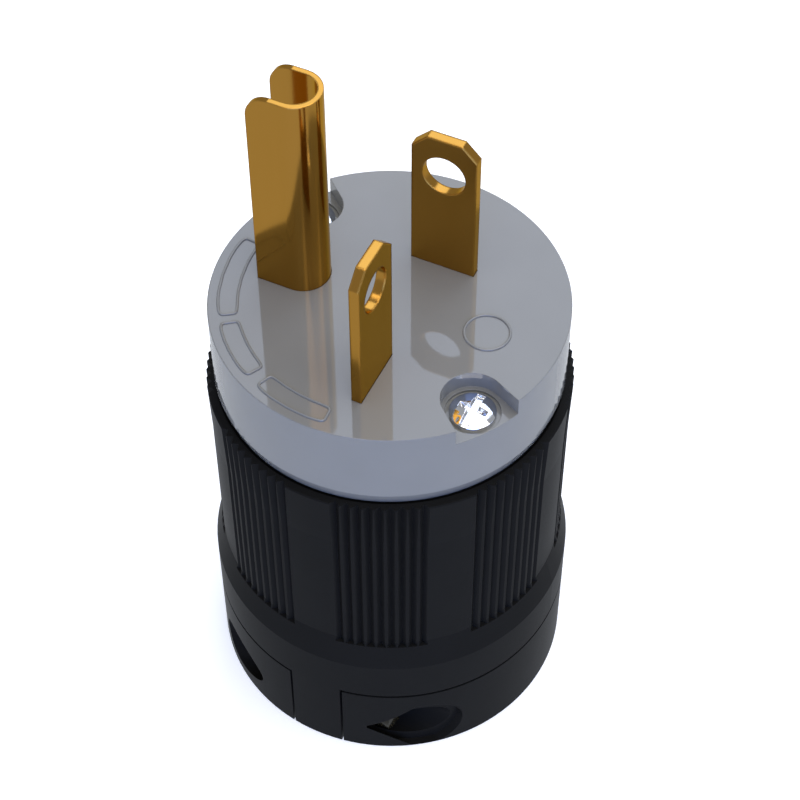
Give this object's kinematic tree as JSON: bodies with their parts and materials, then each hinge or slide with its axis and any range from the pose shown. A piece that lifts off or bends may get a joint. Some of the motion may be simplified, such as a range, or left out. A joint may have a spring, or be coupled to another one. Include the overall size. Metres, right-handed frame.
{
  "type": "plug",
  "caption": "Three-wire straight blade plug with crossed flat blades, folded ground pin, ribbed grip and two-jaw cord clamp, standing on its cord end.",
  "frame": {"origin": "centre of the flat cord end that the plug stands on", "axes": "+Z along the plug's axis towards the blade tips, -X towards the ground pin, +Y towards the crosswise blade"},
  "size_m": [0.0364, 0.0364, 0.072],
  "materials": {
    "body_nylon": "satin",
    "jaw_nylon": "satin",
    "face_nylon": "semi-gloss",
    "blade_brass": "polished",
    "pin_brass": "polished",
    "insert_brass": "turned",
    "block_moulding": "matt",
    "terminal_steel": "turned",
    "ground_screw": "coloured plating",
    "plate_steel": "stamped",
    "screw_chrome": "bright plated",
    "clamp_steel": "zinc plated"
  },
  "bodies": {
    "root": {"housing": "body_nylon", "jaw_right": "jaw_nylon", "jaw_left": "jaw_nylon", "face_cap": "face_nylon", "blade_a": "blade_brass", "blade_b": "blade_brass", "ground_pin": "pin_brass", "terminal_block": "block_moulding", "terminal_screw_a": "terminal_steel", "terminal_screw_b": "terminal_steel", "terminal_screw_ground": "ground_screw", "wire_clamp_a": "plate_steel", "wire_clamp_b": "plate_steel", "wire_clamp_ground": "plate_steel", "face_screw_front": "screw_chrome", "face_screw_rear": "screw_chrome", "insert_front": "insert_brass", "insert_rear": "insert_brass", "clamp_screw_front": "clamp_steel", "clamp_screw_rear": "clamp_steel", "clamp_nut_front": "clamp_steel", "clamp_nut_rear": "clamp_steel"}
  },
  "joints": []
}
